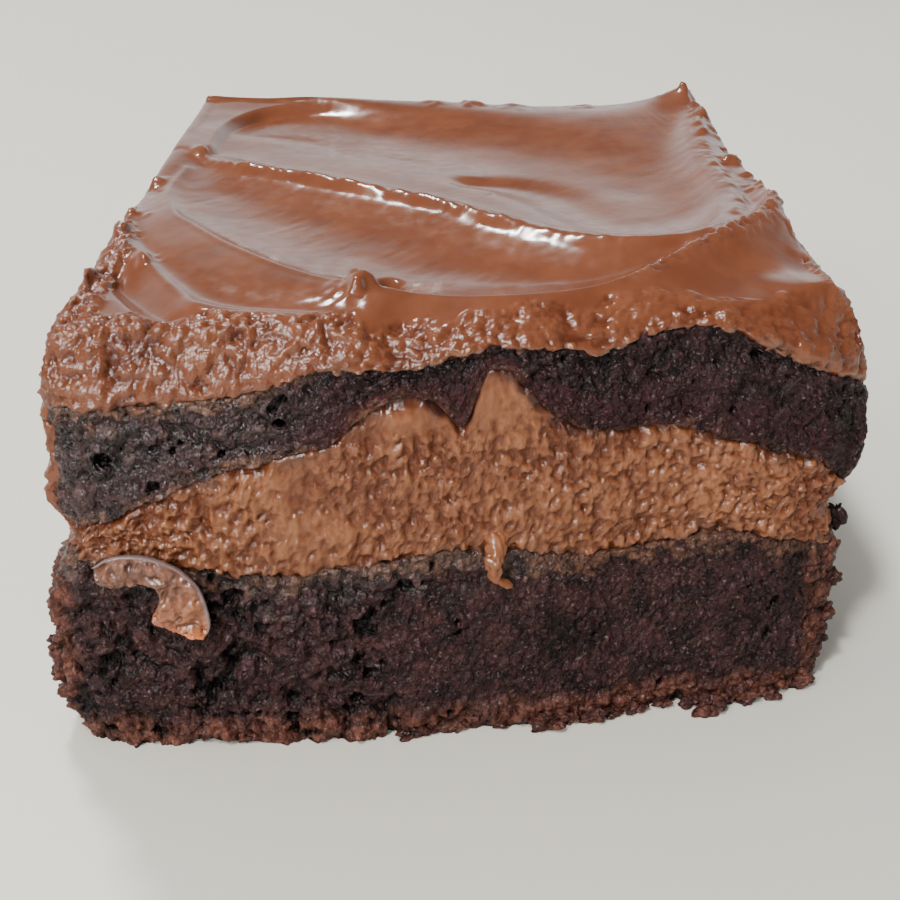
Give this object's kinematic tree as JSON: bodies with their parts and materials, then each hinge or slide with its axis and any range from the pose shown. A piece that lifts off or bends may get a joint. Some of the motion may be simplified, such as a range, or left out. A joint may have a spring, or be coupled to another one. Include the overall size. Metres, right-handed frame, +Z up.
{
  "type": "chocolate mud cake slice",
  "caption": "Square-cut slice of dark chocolate mud cake with a chocolate cream filling, spread chocolate frosting in swirls on top and a curl of cream stuck to the cut front",
  "frame": {"origin": "middle of the footprint, on the flat base of the lower cake", "axes": "+Z up through the layers, the cut front with the bare layers faces -Y, +Y is the long way of the slice, +X is to the right when looking at the cut front"},
  "size_m": [0.08, 0.0908, 0.0464],
  "materials": {
    "mud_cake": "moist, open crumb",
    "mud_cake_upper": "moist, fine crumb",
    "chocolate_cream": "moist satin",
    "frosting": "smooth, glossy",
    "curl_cream": "moist satin"
  },
  "bodies": {
    "root": {"bottom_cake": "mud_cake", "filling": "chocolate_cream", "top_cake": "mud_cake_upper", "frosting": "frosting", "cream_curl": "curl_cream"}
  },
  "joints": []
}
